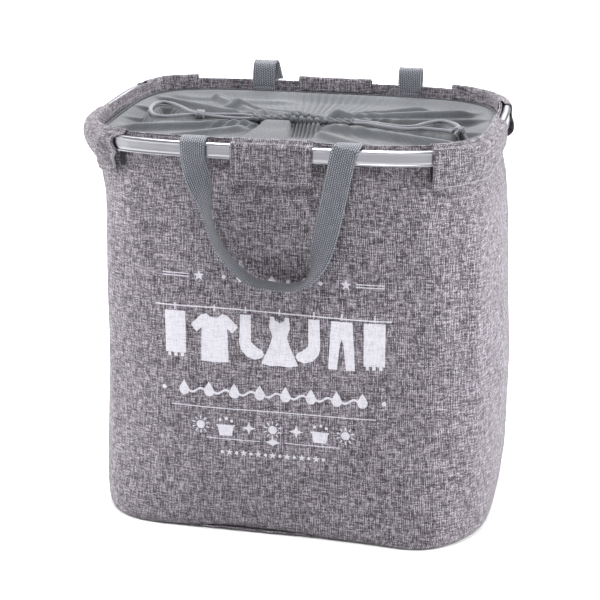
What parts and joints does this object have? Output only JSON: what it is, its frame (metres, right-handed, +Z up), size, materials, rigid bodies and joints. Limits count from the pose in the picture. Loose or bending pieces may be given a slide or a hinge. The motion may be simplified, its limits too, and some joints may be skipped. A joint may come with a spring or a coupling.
{
  "type": "laundry hamper",
  "caption": "Soft rectangular laundry hamper hung from an aluminium rail, with webbing handles and a gathered drawstring cover.",
  "frame": {"origin": "on the floor under the middle of the hamper", "axes": "+Z up, -Y towards the front with the printed wall, +X to the right seen from the front"},
  "size_m": [0.46, 0.3696, 0.4669],
  "materials": {
    "aluminium": "satin anodised",
    "plastic": "plain",
    "cloth": "heathered linen-look weave, coated inside",
    "cover": "plain weave",
    "webbing": "knitted webbing",
    "cord": "braided",
    "tape": "hook-and-loop"
  },
  "bodies": {
    "bag": {"front_panel": "cloth", "rear_panel": "cloth", "base_panel": "cloth", "base_board": "plastic", "seam_binding_left": "cover", "seam_binding_right": "cover"},
    "rim": {"frame_half_left": "aluminium", "frame_half_right": "aluminium", "splice_front": "plastic", "splice_rear": "plastic", "frame_rivet_front_left": "aluminium", "frame_rivet_front_right": "aluminium", "frame_rivet_rear_left": "aluminium", "frame_rivet_rear_right": "aluminium", "top_hem": "cloth", "front_tab": "cloth", "rear_tab": "cloth", "corner_sleeve_front_left": "cloth", "corner_sleeve_front_right": "cloth", "corner_sleeve_rear_left": "cloth", "corner_sleeve_rear_right": "cloth", "hook_tape_front_left": "tape", "hook_tape_front_right": "tape", "hook_tape_rear_left": "tape", "hook_tape_rear_right": "tape", "handle_anchor_front_left": "webbing", "handle_anchor_front_right": "webbing", "handle_anchor_rear_left": "webbing", "handle_anchor_rear_right": "webbing", "closure_yoke": "cover"},
    "front_handle": {"front_handle": "webbing"},
    "rear_handle": {"rear_handle": "webbing"},
    "closure_front": {"closure_front": "cover", "casing_front": "cover"},
    "closure_rear": {"closure_rear": "cover", "casing_rear": "cover"},
    "closure_left": {"closure_left": "cover", "cord_left": "cord", "knot_left": "cord"},
    "closure_right": {"closure_right": "cover", "cord_right_front": "cord", "cord_right_rear": "cord", "knot_right": "cord"}
  },
  "joints": [
    {"name": "frame_collapse", "type": "slide", "parent": "bag", "child": "rim", "axis": [0, 0, 1], "range_m": [-0.285, 0], "deforming": ["front_panel", "rear_panel", "seam_binding_left", "seam_binding_right"]},
    {"name": "front_handle_swing", "type": "hinge", "parent": "rim", "child": "front_handle", "pos_m": [0, -0.1515, 0.4497], "axis": [-1, 0, 0], "range_deg": [0, 200]},
    {"name": "rear_handle_swing", "type": "hinge", "parent": "rim", "child": "rear_handle", "pos_m": [0, 0.154, 0.463], "axis": [1, 0, 0], "range_deg": [0, 200]},
    {"name": "closure_front_open", "type": "hinge", "parent": "rim", "child": "closure_front", "pos_m": [0, -0.128, 0.437], "axis": [-1, 0, 0], "range_deg": [0, 80]},
    {"name": "closure_rear_open", "type": "hinge", "parent": "rim", "child": "closure_rear", "pos_m": [0, 0.128, 0.437], "axis": [1, 0, 0], "range_deg": [0, 80]},
    {"name": "closure_left_open", "type": "hinge", "parent": "rim", "child": "closure_left", "pos_m": [-0.185, 0, 0.437], "axis": [0, 1, 0], "range_deg": [0, 80]},
    {"name": "closure_right_open", "type": "hinge", "parent": "rim", "child": "closure_right", "pos_m": [0.185, 0, 0.437], "axis": [0, -1, 0], "range_deg": [0, 80]}
  ],
  "couplings": [
    {"joint": "closure_rear_open", "follows": "closure_front_open", "ratio": 1},
    {"joint": "closure_left_open", "follows": "closure_front_open", "ratio": 1},
    {"joint": "closure_right_open", "follows": "closure_front_open", "ratio": 1}
  ]
}
